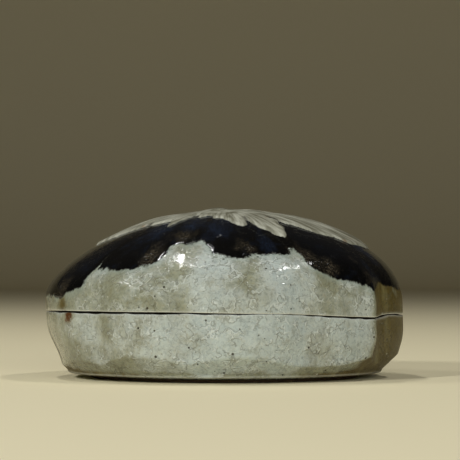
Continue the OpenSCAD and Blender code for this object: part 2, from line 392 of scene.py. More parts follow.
def handShape(points, isWall, isBody, sectionRadius):
    azimuth = azimuthOf(points)
    radius = np.hypot(points[:, 0], points[:, 1])
    z = points[:, 2]
    drawn = sectionRadius - radius
    hair = hand["hair"]
    if isBody:
        wallFoot = bodyForm["baseHeight"] + bodyForm["baseEase"] - hair
        onWall = isWall & (z > wallFoot) & (z < seamZ - bodyForm["rimEase"] + hair)
        pared = bevelled(lobedWall(z, drawn, azimuth), z)
        radius = np.where(onWall, pared, radius)
    else:
        low, high = hand["fadeHeights"]
        filled = drawn * hand["lobeFade"] * smoothStep(seamZ + low, seamZ + high, z)
        radius = np.where(isWall, radius + filled, radius)
    low, high = hand["seamFades"]
    nearSeam = np.where(z < seamZ, smoothStep(low, seamZ, z), smoothStep(seamZ + high, seamZ, z))
    lift = aroundCurve(hand["seamRise"], azimuth) * nearSeam
    if isBody:
        low, high = hand["gapFades"]
        onLand = (radius > flangeRadius + hand["flangeGuard"] - drawn) & (z < seamZ + hair)
        belowGap = smoothStep(seamZ - low, seamZ - high, z) * onLand
        chipped = 1 + hand["seamChips"] * lumps(points, hand["chipSize"], hand["chipSeed"])
        lift -= aroundCurve(hand["seamGap"], azimuth) * np.clip(chipped, *hand["chipRange"]) * belowGap
    turn = np.radians(azimuth)
    shaped = np.column_stack((radius * np.sin(turn), -radius * np.cos(turn), z + lift))
    low, high = hand["crownHeights"]
    shaped[:, 2] += hand["crownLean"] * shaped[:, 0] * smoothStep(seamZ + low, seamZ + high, z)
    waves = np.minimum(lumps(shaped, hand["unevenSize"], hand["unevenSeed"]), 1)
    uneven = (waves - 1) * hand["unevenness"] * isWall
    shaped[:, :2] *= (1 + uneven / np.maximum(radius, hand["unevenFrom"]))[:, None]
    return shaped


# Glaze lines on the lid: lower edge of the iron (mm above the seam), outer edge of the star (mm from axis)
glazeLines = {
    "ironEdge": [
        (-178, 7.0), (-170, 9.5), (-163, 11.5), (-156, 9.0), (-146, 6.5), (-136, 8.5), (-128, 10.5),
        (-120, 8.0), (-110, 5.0), (-98, 3.8), (-86, 3.5), (-71, 3.5), (-63, 3.4), (-57, 4.2), (-54, 5.0),
        (-52, 6.2), (-51, 7.2), (-50.4, 8.6), (-49.8, 10.2), (-49, 9.8), (-48.2, 9.0), (-46.9, 8.9),
        (-45.9, 8.1), (-45, 8.8), (-43, 8.7), (-34, 8.7), (-30.5, 8.9), (-26.5, 9.4), (-24, 10.0),
        (-22.8, 11.0), (-21.8, 12.4), (-20.5, 13.3), (-16, 13.6), (-12, 14.1), (-9.3, 14.2), (-7, 13.2),
        (-5.3, 12.7), (-4, 11.9), (-1, 11.2), (2.5, 11.0), (7, 11.2), (11, 11.6), (16, 11.8), (21, 11.6),
        (24.5, 12.2), (27.8, 12.2), (29, 11.2), (30, 9.8), (32.5, 8.7), (35, 7.8), (38, 7.2), (42, 6.5),
        (46.5, 6.4), (49, 5.9), (52.5, 5.2), (55, 4.9), (57.5, 5.1), (62, 6.2), (66, 5.7), (70, 5.2),
        (78, 5.0), (88, 5.6), (94, 8.6), (102, 6.2), (114, 5.0), (124, 7.4), (131, 9.6), (139, 7.2),
        (150, 5.2), (160, 6.4), (170, 5.6)],
    "starEdge": [
        (-172, 14.6), (-160, 17.2), (-153, 20.5), (-147, 17.4), (-135, 16.2), (-122, 19.0), (-110, 21.5),
        (-98, 24.0), (-88, 25.5), (-80, 25.0), (-72, 22.6), (-63, 18.8), (-54, 16.6), (-46, 15.0),
        (-41, 15.6), (-38, 17.9), (-36, 18.2), (-34.8, 15.5), (-33, 12.8), (-23, 11.8), (-14, 11.4),
        (-8.5, 13.4), (0, 14.4), (4, 15.9), (6, 18.0), (8.5, 18.9), (11.5, 19.2), (13.5, 18.2), (15.4, 17.0),
        (19, 18.6), (22.5, 21.0), (25.5, 23.1), (28.3, 24.4), (30.5, 23.6), (33, 21.5), (35.5, 18.6),
        (38, 17.8), (41, 18.2), (44, 19.1), (47.3, 21.1), (50, 22.6), (53.5, 24.0), (60, 25.2), (65, 26.8),
        (73, 28.0), (80, 28.8), (88, 28.6), (98, 26.4), (110, 21.8), (120, 18.6), (128, 17.0), (138, 19.0),
        (145, 23.0), (150, 22.0), (155, 18.0), (165, 15.2)],
    "edgeWobble": 0.3, "wobbleSize": 4.0, "wobbleSeed": 11, "notGlazed": -20,
    # height in mm, then where past the edge it starts and ends, or its middle and width
    "ironThickness": (0.13, -0.4, 1.3), "starThickness": (0.36, -0.05, 0.5),
    "ironRoll": (0.04, 0.55, 0.45), "starRim": (0.06, 0.9, 0.4),
    # azimuth, from and to (mm from the axis), width, how far it cuts into the star
    "starCreases": [(38.5, 13.5, 18.5, 0.4, 1.6), (16, 12.5, 17, 0.35, 1.0), (-60, 12, 18, 0.5, 0.8)],
    "creaseEnds": (1.5, 1.0), "creaseShadeTone": 0.7, "grooveDepth": 0.2, "onStar": (0.5, 2.5),  # mm in from edge
    "starPits": [(9.2, -11.1, 0.9), (-4, 6, 0.5), (14, 5, 0.4)],  # x, y, size
    # x, y, size, height
    "crownLumps": [(-12.5, -1, 4.0, 0.35), (-1.5, -1, 2.4, 0.4), (1.6, 0, 1.4, -0.35), (6, 0, 3.5, 0.2),
                   (2, 9, 4, 0.3), (-8, 10, 4, 0.3), (10, 8, 4, 0.25), (-6, -7, 3, 0.15), (13, -3, 3, 0.2),
                   (-17, 0, 4.5, 0.25), (18.5, 0, 5, 0.45), (26, 0, 5, 0.4)],
    # azimuth, height above the seam, size
    "brownPlaces": [(-28, 11.1, 2.4), (-19.5, 14.6, 2.0), (9, 12.8, 1.8), (30, 10.8, 2.2), (38, 8.8, 2.2),
                    (56, 6.4, 2.0), (-62, 5.6, 2.2), (95, 10, 2.8), (150, 9, 2.8), (-100, 8, 2.8),
                    (-150, 11, 2.8), (-125, 12, 2.4)],
    # blue places hold a painted blue reflection on the iron
    "blueReflectionPlaces": [(-38, 16.5, 2.8), (-20, 18.2, 2.8), (-6, 17.4, 2.6), (18, 13.4, 1.6), (70, 13, 3.2),
                   (120, 14, 3.4), (170, 15, 3.4), (-90, 13, 3.2), (-140, 15, 3.2)],
    # azimuth, height above the seam, width, length, thickness
    "runs": [(-15.5, 10.2, 2.4, 4.0, 0.04), (19.8, 9.0, 2.2, 3.6, 0.04), (25.8, 8.6, 0.9, 1.6, 0.1),
             (-30.5, 8.6, 1.0, 1.6, 0.08), (48, 7.0, 1.0, 3.0, 0.1), (52, 7.5, 0.8, 3.0, 0.08),
             (-100, 8, 1.4, 4, 0.12), (-140, 9, 1.3, 4, 0.14), (165, 8, 1.5, 4, 0.12),
             (120, 9, 1.2, 4, 0.14)],
    "veinedFrom": (4, 15),  # mm from the axis
    "streakPlace": (0.15, 20), "slopePlace": (0.8, 28),  # stretch along, ring in mm
}


def reachPast(edge, azimuth, radius, distance):  # how far past a drawn edge, measured square to it, in mm
    step = 0.5
    leastRadius = 4
    across = np.radians(2 * step) * np.maximum(radius, leastRadius)
    slope = (aroundCurve(edge, azimuth + step) - aroundCurve(edge, azimuth - step)) / across
    return (distance - aroundCurve(edge, azimuth)) / np.sqrt(1 + slope ** 2)


def lidGlazeRelief(piece, isWall):
    lines = glazeLines
    mesh = piece.data
    points = readPoints(mesh)
    azimuth = azimuthOf(points)
    radius = np.hypot(points[:, 0], points[:, 1])
    up = points[:, 2] - seamZ
    wobble = lumps(points, lines["wobbleSize"], lines["wobbleSeed"]) * lines["edgeWobble"]
    iron = reachPast(lines["ironEdge"], azimuth, radius, up) + wobble
    star = -reachPast(lines["starEdge"], azimuth, radius, radius) + wobble
    shadedCreasesAndPits = np.zeros(len(points))
    fadeIn, fadeOut = lines["creaseEnds"]
    for side, inner, outer, width, depth in lines["starCreases"]:
        along = smoothStep(inner, inner + fadeIn, radius) * smoothStep(outer + fadeOut, outer, radius)
        creased = swell(sideways(azimuth, side, radius), width) * along
        star -= depth * creased
        # the crease mask paints a shadow along the crease between the star's arms
        shadedCreasesAndPits = np.maximum(shadedCreasesAndPits, lines["creaseShadeTone"] * creased)
    for x, y, size in lines["starPits"]:
        shadedCreasesAndPits = np.maximum(shadedCreasesAndPits, swell(np.hypot(points[:, 0] - x, points[:, 1] - y), size))
    iron = np.where(isWall, iron, lines["notGlazed"])
    star = np.where(isWall, star, lines["notGlazed"])
    relief = np.zeros(len(points))
    for reach, coat, bead in ((iron, "ironThickness", "ironRoll"), (star, "starThickness", "starRim")):
        height, start, end = lines[coat]
        relief += height * smoothStep(start, end, reach)
        height, middle, width = lines[bead]
        relief += height * swell(reach - middle, width)
    for side, height, width, length, thickness in lines["runs"]:
        relief += thickness * swell(sideways(azimuth, side, radius), width) * swell(up - height, length)
    onStar = smoothStep(*lines["onStar"], star)
    for x, y, size, height in lines["crownLumps"]:
        relief += height * swell(np.hypot(points[:, 0] - x, points[:, 1] - y), size) * onStar
    relief -= lines["grooveDepth"] * shadedCreasesAndPits * onStar
    writePoints(mesh, points + outwardNormals(mesh) * (relief * isWall)[:, None])
    storeValue(mesh, "shadedCreasesAndPits", shadedCreasesAndPits * isWall)
    storeValue(mesh, "ironReach", iron)
    storeValue(mesh, "starReach", star)
    storeValue(mesh, "veined", smoothStep(*lines["veinedFrom"], radius))
    for name in ("brownPlaces", "blueReflectionPlaces"):
        near = np.zeros(len(points))
        for side, height, size in lines[name]:
            near = np.maximum(near, swell(np.hypot(sideways(azimuth, side, radius), up - height), size))
        storeValue(mesh, name, near)
    for name, along in (("streakPlace", radius), ("slopePlace", np.hypot(crestRadius - radius, up))):
        stretch, ring = lines[name]
        storePlace(mesh, name, azimuth, along * stretch, ring)


# Materials: a look lists colours, then what addPatterns makes: noises (coordinates, size in mm, detail,
# roughness, upright stretch), uneven reaches (reach, noise, spread), shares (source, from, to, and what they
# become if not 0 and 1) and tones (share, first colour, second colour)
glazeSurface = {"ior": 1.5, "bumpReach": 1.0, "bumpStrength": 0.9}  # the bump's reach in mm
ashLook = {
    "thick": "#AFB8B0", "middle": "#A6AB9F", "thin": "#898B75", "toast": "#54481F", "toastPale": "#6A623C",
    # the edge colour is the pale line along the rims: partly thin or bare glaze, partly painted highlight on
    # the rounded rims
    "crackle": "#565340", "stain": "#77755A", "pit": "#2A231A", "fleck": "#D2D6CB", "edge": "#D6D7CA",
    "rust": "#4E2A04", "rustHalo": "#6A5A2E", "clay": "#5C4A37", "clayDark": "#3D3024",
    "noises": {
        "patch": ("place", 5.0, 4.0, 0.6, 1.0), "grain": ("place", 0.6, 4.0, 0.7, 1.0),
        "runs": ("place", 2.2, 2.0, 0.5, 0.16), "ripple": ("place", 2.0, 1.0, 0.5, 0.4),
        "bend": ("place", 1.1, 4.0, 0.65, 1.0), "broken": ("place", 3.0, 3.0, 0.5, 1.0),
        "wavy": ("place", 2.0, 2.0, 0.5, 1.0), "grit": ("place", 0.9, 5.0, 0.7, 1.0),
    },
    "ragged": {"thickness": ("pool", "patch", 2.2), "rustReach": ("rust", "grain", 1.8),
               "bareReach": ("bare", "grain", 0.5)},
    "shares": {
        "toastShare": ("thickness", -0.5, -1.0), "thinShare": ("thickness", 0.45, -0.1),
        "thickShare": ("thickness", 0.4, 1.0), "paintedHighlightSeen": ("thickness", -0.4, 0.3, 0.0, 0.65),
        "toastStreak": ("runs", 0.5, 0.7), "runLight": ("runs", 0.3, 0.7, 0.88, 1.08),
        "grainLight": ("grain", 0.3, 0.7, 0.66, 1.3), "gloss": ("grain", 0.3, 0.7, 0.03, 0.1),
        "lineSeen": ("broken", 0.5, 0.6), "fineSeen": ("broken", 0.56, 0.44, 0.0, 0.4),
        "wrinkleSeen": ("broken", 0.4, 0.55), "stainSeen": ("patch", 0.48, 0.36),
        "rustCore": ("rustReach", 0.35, 0.95), "rustShare": ("rustReach", 0.0, 0.9, 0.0, 0.95),
        "bareShare": ("bareReach", 0.42, 0.58),
    },
    "tones": {"toastTone": ("toastStreak", "toast", "toastPale"),
              "rustTone": ("rustCore", "rustHalo", "rust"), "clayTone": ("grit", "clayDark", "clay")},
    # sizes in mm
    "crackleSize": 3.6, "fineCrackleSize": 1.6, "crackleWidth": 0.11, "bendReach": 2.2,
    # a flake's rim and the stain beside it in crackle widths, the lift that makes a flake raised or sunk and
    # so picks painted highlight or painted shade for its rim
    "crackleRim": (0.3, 2.2), "stainWidth": 7, "flakeRaised": (0.5, 0.7), "flakeSunk": (0.5, 0.3),
    # tones of the crackle, the stain, the wrinkle's furrow (stain with painted shade) and its ridge (painted
    # highlight)
    "crackleTone": 0.55, "stainTone": 0.4, "stainedShadedFurrowTone": 0.8, "paleLitRidgeTone": 0.9,
    "wrinkleLevel": 0.5, "wrinkleWidth": 0.035, "wrinkleApart": 0.8,  # of the wavy noise, and of that width
    # spacing in mm, least pick, largest size and soft edge as shares of the spacing, strength
    "flecks": (1.1, 0.55, 0.2, 0.08, 0.55), "pits": (1.6, 0.45, 0.18, 0.04, 0.9),
    # heights in mm; the two reliefs are of ripples and wrinkles
    "bodyRelief": (0.24, 0.09), "lidRelief": (0.05, 0.008), "grainHeight": 0.01, "plateStep": 0.14,
    "crackleHeight": -0.05, "pitHeight": -0.06, "runHeight": 0.03, "gritHeight": 0.1,
    "toastRoughness": 0.5, "clayRoughness": 0.85, "shine": 0.5,
}


def addPatterns(tree, look, layers):  # makes each entry of the look's four lists, from those before it
    for name, (along, size, detail, roughness, upright) in look["noises"].items():
        vector = layers[along]
        if upright != 1:
            vector = addNode(tree, "ShaderNodeMapping", {"Vector": vector, "Scale": (1.0, 1.0, upright)})
        layers[name] = addNode(tree, "ShaderNodeTexNoise", {"Vector": vector, "Scale": 1 / (size * mm),
                                                            "Detail": detail, "Roughness": roughness})
    for name, (reach, noise, spread) in look["ragged"].items():
        swing = addNode(tree, "ShaderNodeMath", {0: layers[noise], 1: spread, 2: -spread / 2},
                        operation="MULTIPLY_ADD")
        layers[name] = addNode(tree, "ShaderNodeMath", {0: layers[reach], 1: swing}, operation="ADD")
    for name, (source, start, end, *ends) in look["shares"].items():
        low, high = ends or (0.0, 1.0)
        layers[name] = addNode(tree, "ShaderNodeMapRange",
                               {0: layers[source], 1: start, 2: end, 3: low, 4: high})
    for name, (share, first, second) in look["tones"].items():
        one, two = linearColour(look[first]), linearColour(look[second])
        layers[name] = addNode(tree, "ShaderNodeMix", {0: layers[share], 6: one, 7: two},
                               out=2, data_type="RGBA")


def crackleFlakes(tree, vector, size, seen):  # the rim along each crackle line is painted pale on a raised flake, a highlight, and dark on a sunk one, crackle with painted shade
    look = ashLook
    scale = 1 / (size * mm)
    start, end = [look["crackleWidth"] / size * share for share in look["crackleRim"]]
    away = addNode(tree, "ShaderNodeTexVoronoi", {"Vector": vector, "Scale": scale},
                   feature="DISTANCE_TO_EDGE")
    flake = addNode(tree, "ShaderNodeTexVoronoi", {"Vector": vector, "Scale": scale}).node.outputs["Color"]
    flakes = {"away": away, "lift": addNode(tree, "ShaderNodeSeparateColor", {0: flake})}
    rim = addNode(tree, "ShaderNodeMapRange", {0: away, 1: start, 2: end, 3: 1.0, 4: 0.0})
    rim = addNode(tree, "ShaderNodeMath", {0: rim, 1: seen}, operation="MULTIPLY")
    for tone, (start, end) in (("pale", look["flakeRaised"]), ("dark", look["flakeSunk"])):
        chosen = addNode(tree, "ShaderNodeMapRange", {0: flakes["lift"], 1: start, 2: end})
        flakes[tone] = addNode(tree, "ShaderNodeMath", {0: rim, 1: chosen}, operation="MULTIPLY")
    return flakes


def nearLevel(tree, value, level, width):  # 1 on the line where a value meets a level, fading to 0 beside it
    off = addNode(tree, "ShaderNodeMath", {0: value, 1: level}, operation="SUBTRACT")
    off = addNode(tree, "ShaderNodeMath", {0: off}, operation="ABSOLUTE")
    return addNode(tree, "ShaderNodeMapRange", {0: off, 1: 0.0, 2: width, 3: 1.0, 4: 0.0},
                   interpolation_type="SMOOTHSTEP")


def scatteredSpots(tree, place, spacing, leastPick, largest, soft, strength):  # round spots of all sizes
    spot = addNode(tree, "ShaderNodeTexVoronoi", {"Vector": place, "Scale": 1 / (spacing * mm)})
    pick = addNode(tree, "ShaderNodeSeparateColor", {0: spot.node.outputs["Color"]})
    size = addNode(tree, "ShaderNodeMapRange", {0: pick, 1: leastPick, 2: 1.0, 3: 0.0, 4: largest})
    depth = addNode(tree, "ShaderNodeMath", {0: size, 1: spot}, operation="SUBTRACT")
    return addNode(tree, "ShaderNodeMapRange", {0: depth, 1: 0.0, 2: soft, 4: strength})


def ashTones(tree, layers):  # brown where the glaze is thinnest, then olive, then grey, bluish in the pools
    look = ashLook
    colour = linearColour(look["middle"])
    for share, over in (("thinShare", linearColour(look["thin"])), ("toastShare", layers["toastTone"]),
                        ("thickShare", linearColour(look["thick"]))):
        colour = addNode(tree, "ShaderNodeMix", {0: layers[share], 6: colour, 7: over},
                         out=2, data_type="RGBA")
    uneven = addNode(tree, "ShaderNodeMath", {0: layers["grainLight"], 1: layers["runLight"]},
                     operation="MULTIPLY")
    return addNode(tree, "ShaderNodeMix", {0: 1.0, 6: colour, 7: uneven}, out=2, data_type="RGBA",
                   blend_type="MULTIPLY")


def ashCracks(tree, layers):  # bent crackle and wrinkles: dark lines, crackle and stain with painted shade, pale lines of painted highlight, and a stain beside them
    look = ashLook
    bent = addNode(tree, "ShaderNodeVectorMath", {0: layers["bend"].node.outputs["Color"],
                                                  1: (look["bendReach"] * mm,) * 3, 2: layers["place"]},
                   operation="MULTIPLY_ADD")
    coarse = crackleFlakes(tree, bent, look["crackleSize"], layers["lineSeen"])
    fine = crackleFlakes(tree, bent, look["fineCrackleSize"], layers["fineSeen"])
    cracks = {"lift": coarse["lift"]}
    level, width = look["wrinkleLevel"], look["wrinkleWidth"]
    apart = look["wrinkleApart"] * width
    # each wrinkle gets a dark furrow, stain with painted shade, beside a pale ridge, painted highlight
    for tone, fold, at in (("dark", "stainedShadedFurrow", level - apart), ("pale", "paleLitRidge", level + apart)):
        line = nearLevel(tree, layers["wavy"], at, width)
        cracks[fold] = addNode(tree, "ShaderNodeMath", {0: line, 1: layers["wrinkleSeen"]},
                               operation="MULTIPLY")
        faint = addNode(tree, "ShaderNodeMath", {0: cracks[fold], 1: look[fold + "Tone"]},
                        operation="MULTIPLY")
        both = addNode(tree, "ShaderNodeMath", {0: coarse[tone], 1: fine[tone]}, operation="MAXIMUM")
        cracks[tone] = addNode(tree, "ShaderNodeMath", {0: both, 1: faint}, operation="MAXIMUM")
    stainEnd = look["stainWidth"] * look["crackleWidth"] / look["crackleSize"]
    stain = addNode(tree, "ShaderNodeMapRange",
                    {0: coarse["away"], 1: 0.0, 2: stainEnd, 3: look["stainTone"], 4: 0.0})
    cracks["stain"] = addNode(tree, "ShaderNodeMath", {0: stain, 1: layers["stainSeen"]},
                              operation="MULTIPLY")
    return cracks


def ashGlazeLayers(tree, rippleHeight, wrinkleHeight):  # wood ash glaze: mottled, crackled, pitted, glassy
    look = ashLook
    layers = {"place": addNode(tree, "ShaderNodeTexCoord", out=3)}
    for name in ("pool", "edge", "rust", "bare"):
        layers[name] = addNode(tree, "ShaderNodeAttribute", out=2, attribute_name=name)
    addPatterns(tree, look, layers)
    cracks = ashCracks(tree, layers)
    # dark: crackle lines and stained furrows, deepened by painted shade; pale: painted highlight on raised
    # flakes and ridges, shown where the glaze lies thick
    dark = addNode(tree, "ShaderNodeMath", {0: cracks["dark"], 1: look["crackleTone"]}, operation="MULTIPLY")
    pale = addNode(tree, "ShaderNodeMath", {0: cracks["pale"], 1: layers["paintedHighlightSeen"]}, operation="MULTIPLY")
    flecks = scatteredSpots(tree, layers["place"], *look["flecks"])
    pits = scatteredSpots(tree, layers["place"], *look["pits"])
    colour = ashTones(tree, layers)
    for share, over in ((cracks["stain"], "stain"), (dark, "crackle"), (pale, "fleck"), (flecks, "fleck"),
                        (pits, "pit"), (layers["edge"], "edge")):
        colour = addNode(tree, "ShaderNodeMix", {0: share, 6: colour, 7: linearColour(look[over])},
                         out=2, data_type="RGBA")
    colour = addNode(tree, "ShaderNodeMix", {0: layers["rustShare"], 6: colour, 7: layers["rustTone"]},
                     out=2, data_type="RGBA")
    height = 0.0
    for layer, rise in ((layers["grain"], look["grainHeight"]), (cracks["lift"], look["plateStep"]),
                        (cracks["dark"], look["crackleHeight"]), (pits, look["pitHeight"]),
                        (cracks["paleLitRidge"], wrinkleHeight), (layers["ripple"], rippleHeight),
                        (layers["runs"], look["runHeight"])):
        height = addNode(tree, "ShaderNodeMath", {0: layer, 1: rise, 2: height}, operation="MULTIPLY_ADD")
    gloss = addNode(tree, "ShaderNodeMix", {0: layers["toastShare"], 2: layers["gloss"],
                                            3: look["toastRoughness"]})
    return {**layers, "colour": colour, "height": height, "gloss": gloss}


def bareClayOver(tree, layers):  # unglazed stoneware where lid and body meet and on the foot: dry and gritty
    look = ashLook
    share, grit = layers["bareShare"], layers["grit"]
    colour = addNode(tree, "ShaderNodeMix", {0: share, 6: layers["colour"], 7: layers["clayTone"]},
                     out=2, data_type="RGBA")
    gloss = addNode(tree, "ShaderNodeMix", {0: share, 2: layers["gloss"], 3: look["clayRoughness"]})
    gritty = addNode(tree, "ShaderNodeMath", {0: grit, 1: share}, operation="MULTIPLY")
    height = addNode(tree, "ShaderNodeMath", {0: gritty, 1: look["gritHeight"], 2: layers["height"]},
                     operation="MULTIPLY_ADD")
    return {**layers, "colour": colour, "gloss": gloss, "height": height}


def finishGlaze(tree, layers, shine):
    given = glazeSurface
    bump = addNode(tree, "ShaderNodeBump", {"Height": layers["height"], "Distance": given["bumpReach"] * mm,
                                            "Strength": given["bumpStrength"]})
    shader = addNode(tree, "ShaderNodeBsdfPrincipled",
                     {"Base Color": layers["colour"], "Roughness": layers["gloss"], "IOR": given["ior"],
                      "Specular IOR Level": shine, "Normal": bump})
    addNode(tree, "ShaderNodeOutputMaterial", {"Surface": shader})


def newMaterial(name):
    material = bpy.data.materials.new(name)
    material.use_nodes = True
    material.node_tree.nodes.clear()
    return material


def ashGlaze():  # ash glaze over stoneware: a pale glassy skin that breaks to olive and brown on the edges
    material = newMaterial("ashGlazedStoneware")
    tree = material.node_tree
    layers = bareClayOver(tree, ashGlazeLayers(tree, *ashLook["bodyRelief"]))
    finishGlaze(tree, layers, ashLook["shine"])
    return material


ironLook = {
    # the blue-black and the blue sheen colours are painted reflection of cool light on the glossy iron,
    # higher up the dome and in patches
    "black": "#060606", "reflectedBlueBlack": "#07090D", "blueReflection": "#1C2636", "brown": "#524A3B", "rim": "#2A241A",
    # the star's groove colour is painted shadow in the creases between its arms and the dark of its pits;
    # its edge colour is a pale rim, partly thicker glaze, partly painted highlight
    "fringe": "#8A988E", "star": "#B0AF9C", "starDark": "#66634F", "starCreaseShadeAndPits": "#2E2A20",
    "starEdge": "#ADB0A1", "starSpot": "#8A5A2E",
    "noises": {
        "feather": ("place", 0.42, 3.0, 0.5, 0.35), "fineGrain": ("place", 0.35, 3.0, 0.5, 1.0),
        "cloud": ("slopePlace", 3.6, 5.0, 0.65, 1.0), "blotch": ("place", 3.0, 4.0, 0.5, 1.0),
        "streak": ("streakPlace", 1.2, 4.0, 0.6, 1.0),
    },
    "ragged": {"iron": ("ironReach", "feather", 1.0), "star": ("starReach", "grain", 0.5),
               "brownReach": ("brownPlaces", "cloud", 3.0), "blueReflectionReach": ("blueReflectionPlaces", "cloud", -3.0)},
    "shares": {
        "ironShare": ("iron", -0.18, 0.16), "starShare": ("star", -0.06, 0.08),
        "fringeShare": ("iron", -1.3, 0.0, 0.0, 0.45), "rimShare": ("iron", 0.3, 0.0, 0.0, 0.7),
        "brownPatch": ("brownReach", 0.3, 1.3), "brownSpeck": ("fineGrain", 0.44, 0.66, 0.1, 0.9),
        # painted blue reflection: in patches, and over the black higher up the dome
        "blueReflectionPatch": ("blueReflectionReach", 0.15, 1.3, 0.0, 0.9), "blueReflectionSpeck": ("fineGrain", 0.4, 0.64, 0.3, 1.2),
        "reflectedBlueShare": ("ironReach", 2.0, 6.0), "starRim": ("star", 0.9, 0.25, 0.0, 0.12),
        "spotShare": ("spot", 0.04, 0.12, 0.3, 0.0), "dryShare": ("starReach", -0.2, 0.0),
        "ironGloss": ("cloud", 0.3, 0.7, 0.03, 0.09), "ashSeen": ("ironShare", 0.0, 1.0, 1.0, 0.3),
    },
    "tones": {"blackTone": ("reflectedBlueShare", "black", "reflectedBlueBlack")},
    "spotSpacing": 6.0, "ironLumps": 0.03, "veinHeight": 0.15,  # mm
    "buffFrom": (0.4, 0.64), "starRoughness": 0.55, "shine": 0.25,
}


def ironBlack(tree, layers):  # black, with a painted blue reflection higher up the dome and in patches, brown speckle and rim
    look = ironLook
    black = layers["blackTone"]
    for name in ("blueReflection", "brown"):
        share = addNode(tree, "ShaderNodeMath", {0: layers[name + "Patch"], 1: layers[name + "Speck"]},
                        operation="MULTIPLY")
        black = addNode(tree, "ShaderNodeMix", {0: share, 6: black, 7: linearColour(look[name])},
                        out=2, data_type="RGBA")
    return addNode(tree, "ShaderNodeMix", {0: layers["rimShare"], 6: black, 7: linearColour(look["rim"])},
                   out=2, data_type="RGBA")


def buffStar(tree, layers, mottle):  # dry and veined outwards, with a paler edge that is partly thicker glaze and partly painted highlight, rusty specks, and dark grooves that are painted shadow in the creases and dark pits
    look = ironLook
    start, end = look["buffFrom"]
    share = addNode(tree, "ShaderNodeMapRange", {0: mottle, 1: start, 2: end})
    buff = addNode(tree, "ShaderNodeMix", {0: share, 6: linearColour(look["starDark"]),
                                           7: linearColour(look["star"])}, out=2, data_type="RGBA")
    # paints the rim's highlight, the rusty specks, and the shadow in the creases and pits
    for share, over in (("starRim", "starEdge"), ("spotShare", "starSpot"), ("shadedCreasesAndPits", "starCreaseShadeAndPits")):
        buff = addNode(tree, "ShaderNodeMix", {0: layers[share], 6: buff, 7: linearColour(look[over])},
                       out=2, data_type="RGBA")
    return buff


def ironOverAshGlaze():  # iron glaze brushed over the ash: a wet, deep black round a dry star on the crown
    material = newMaterial("ironBrushedOverAshGlaze")
    tree = material.node_tree
    look = ironLook
    layers = bareClayOver(tree, ashGlazeLayers(tree, *ashLook["lidRelief"]))
    for name in ("ironReach", "starReach", "brownPlaces", "blueReflectionPlaces", "veined", "shadedCreasesAndPits"):
        layers[name] = addNode(tree, "ShaderNodeAttribute", out=2, attribute_name=name)
    for name in ("slopePlace", "streakPlace"):
        layers[name] = addNode(tree, "ShaderNodeAttribute", out=1, attribute_name=name)
    layers["spot"] = addNode(tree, "ShaderNodeTexVoronoi", {"Vector": layers["place"],
                                                            "Scale": 1 / (look["spotSpacing"] * mm)})
    addPatterns(tree, look, layers)
    ironShare, starShare = layers["ironShare"], layers["starShare"]
    mottle = addNode(tree, "ShaderNodeMix", {0: layers["veined"], 2: layers["blotch"], 3: layers["streak"]})
    fringe = addNode(tree, "ShaderNodeMix", {0: layers["toastShare"], 2: layers["fringeShare"], 3: 0.0})
    colour = layers["colour"]
    for share, over in ((fringe, linearColour(look["fringe"])), (ironShare, ironBlack(tree, layers)),
                        (starShare, buffStar(tree, layers, mottle))):
        colour = addNode(tree, "ShaderNodeMix", {0: share, 6: colour, 7: over}, out=2, data_type="RGBA")
    gloss = addNode(tree, "ShaderNodeMix", {0: ironShare, 2: layers["gloss"], 3: layers["ironGloss"]})
    gloss = addNode(tree, "ShaderNodeMix", {0: layers["dryShare"], 2: gloss, 3: look["starRoughness"]})
    height = addNode(tree, "ShaderNodeMath", {0: layers["height"], 1: layers["ashSeen"]},
                     operation="MULTIPLY")
    for pattern, share, rise in ((layers["cloud"], ironShare, look["ironLumps"]),
                                 (mottle, starShare, look["veinHeight"])):
        kept = addNode(tree, "ShaderNodeMath", {0: pattern, 1: share}, operation="MULTIPLY")
        height = addNode(tree, "ShaderNodeMath", {0: kept, 1: rise, 2: height}, operation="MULTIPLY_ADD")
    finishGlaze(tree, {"colour": colour, "gloss": gloss, "height": height}, look["shine"])
    return material


# How thick the ash glaze lies round the box: 1 is pooled and bluish, 0 thin and olive, below -0.5 brown
glazeDepth = [
    (-172, 0.3), (-157, 0.8), (-140, 0.2), (-118, 0.8), (-100, -0.5), (-80, -0.45), (-68, 0.0), (-52, 0.25),
    (-44, 0.35), (-38, 0.25), (-31, 0.5), (-24, 0.7), (-19, 0.55), (-14, 0.6), (-12, 0.7), (-9, 1.0),
    (-2, 1.1), (3, 1.05), (8, 1.0), (14, 1.15), (20, 1.2), (24, 1.05), (27.5, 0.75), (32, 0.6), (44, 0.85),
    # from 55 to 92 degrees the values fall far below 0 and the right side turns dark brown: partly thin
    # brown glaze, partly painted shade on the side away from the lamps
    (50, 0.7), (53, 0.2), (55, -0.8), (58, -2.0), (64, -1.9), (70, -1.4), (76, -1.4), (84, -1.4),
    (92, -1.0), (104, -0.1), (114, 0.2), (131, 0.8), (149, 0.2), (167, 0.8),
]
insideDepth = 0.45

